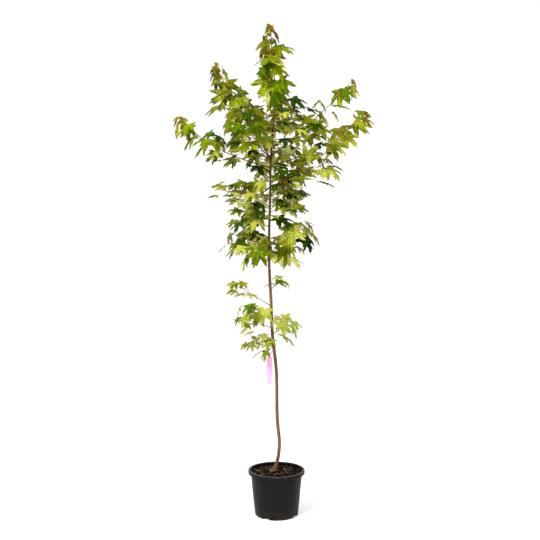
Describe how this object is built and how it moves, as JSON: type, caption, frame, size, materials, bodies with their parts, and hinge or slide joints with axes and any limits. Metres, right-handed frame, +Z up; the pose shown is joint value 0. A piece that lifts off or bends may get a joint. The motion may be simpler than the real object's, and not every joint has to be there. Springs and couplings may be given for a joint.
{
  "type": "potted freeman maple",
  "caption": "Young freeman maple with one slender trunk, upswept leafy boughs and lobed green leaves, standing in a black nursery pot of bark mix.",
  "frame": {"origin": "middle of the pot's flat underside", "axes": "+Z up the tree, -Y towards the viewer of the picture, +X to that viewer's right"},
  "size_m": [0.9818, 0.7582, 2.4262],
  "materials": {
    "pot": "satin black",
    "soil": "rough composted bark",
    "bark": "thin grey-brown bark",
    "young_bark": "smooth red-brown bark",
    "leaves": "soft green leaf",
    "label": "pale pink film",
    "label_loop": "magenta film"
  },
  "bodies": {
    "root": {"pot": "pot", "soil": "soil", "trunk": "bark", "left_high_bough": "young_bark", "left_forward_bough": "young_bark", "left_mid_bough": "young_bark", "right_high_bough": "young_bark", "right_mid_bough": "young_bark", "right_low_bough": "young_bark", "back_high_bough": "young_bark", "front_high_bough": "young_bark", "leader_leaves": "leaves", "left_high_leaves": "leaves", "left_forward_leaves": "leaves", "left_mid_leaves": "leaves", "right_high_leaves": "leaves", "right_mid_leaves": "leaves", "right_low_leaves": "leaves", "back_high_leaves": "leaves", "front_high_leaves": "leaves", "upper_right_leaves": "leaves", "upper_left_leaves": "leaves", "upper_back_leaves": "leaves", "upper_front_leaves": "leaves", "inner_right_back_leaves": "leaves", "inner_right_front_leaves": "leaves", "inner_left_back_leaves": "leaves", "inner_left_front_leaves": "leaves", "inner_right_leaves": "leaves", "inner_back_leaves": "leaves", "side_left_leaves": "leaves", "side_left_back_leaves": "leaves", "side_right_leaves": "leaves", "side_right_front_leaves": "leaves", "side_front_leaves": "leaves", "side_back_leaves": "leaves", "waist_left_leaves": "leaves", "waist_front_leaves": "leaves", "waist_right_leaves": "leaves", "low_left_leaves": "leaves", "low_right_leaves": "leaves", "low_front_leaves": "leaves", "low_back_leaves": "leaves", "foot_left_high_leaves": "leaves", "foot_left_leaves": "leaves", "foot_left_back_leaves": "leaves", "foot_right_leaves": "leaves", "foot_right_back_leaves": "leaves", "foot_last_leaves": "leaves", "foot_low_leaves": "leaves", "label_loop": "label_loop", "label_strip": "label"}
  },
  "joints": []
}
